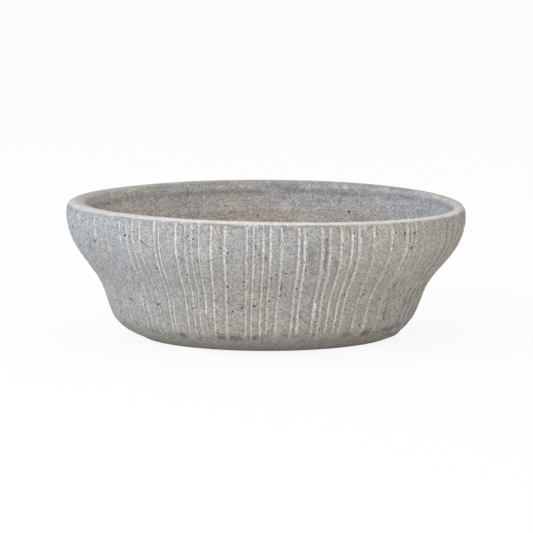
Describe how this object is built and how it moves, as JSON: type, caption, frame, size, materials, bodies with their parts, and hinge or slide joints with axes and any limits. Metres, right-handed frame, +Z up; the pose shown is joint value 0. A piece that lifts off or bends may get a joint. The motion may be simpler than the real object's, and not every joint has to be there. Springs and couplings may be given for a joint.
{
  "type": "concrete bowl planter",
  "caption": "Low wide round concrete bowl planter with an S-shaped wall, hand-cut upright grooves, a thick rounded rim, a drain hole with a lift-out rubber stopper, and foot pads.",
  "frame": {"origin": "centre of the bowl's outer box, on the surface it stands on", "axes": "+Z up, -Y towards the pictured front, +X to the right of it"},
  "size_m": [0.4, 0.4, 0.1388],
  "materials": {
    "concrete": "matte",
    "plug_rubber": "matte",
    "pad_rubber": "matte"
  },
  "bodies": {
    "planter": {"bowl": "concrete", "foot_pad_1": "pad_rubber", "foot_pad_2": "pad_rubber", "foot_pad_3": "pad_rubber", "foot_pad_4": "pad_rubber"},
    "plug": {"drain_plug": "plug_rubber"}
  },
  "joints": [
    {"name": "plug_lift", "type": "slide", "parent": "planter", "child": "plug", "axis": [0, 0, 1], "range_m": [0, 0.16]}
  ]
}
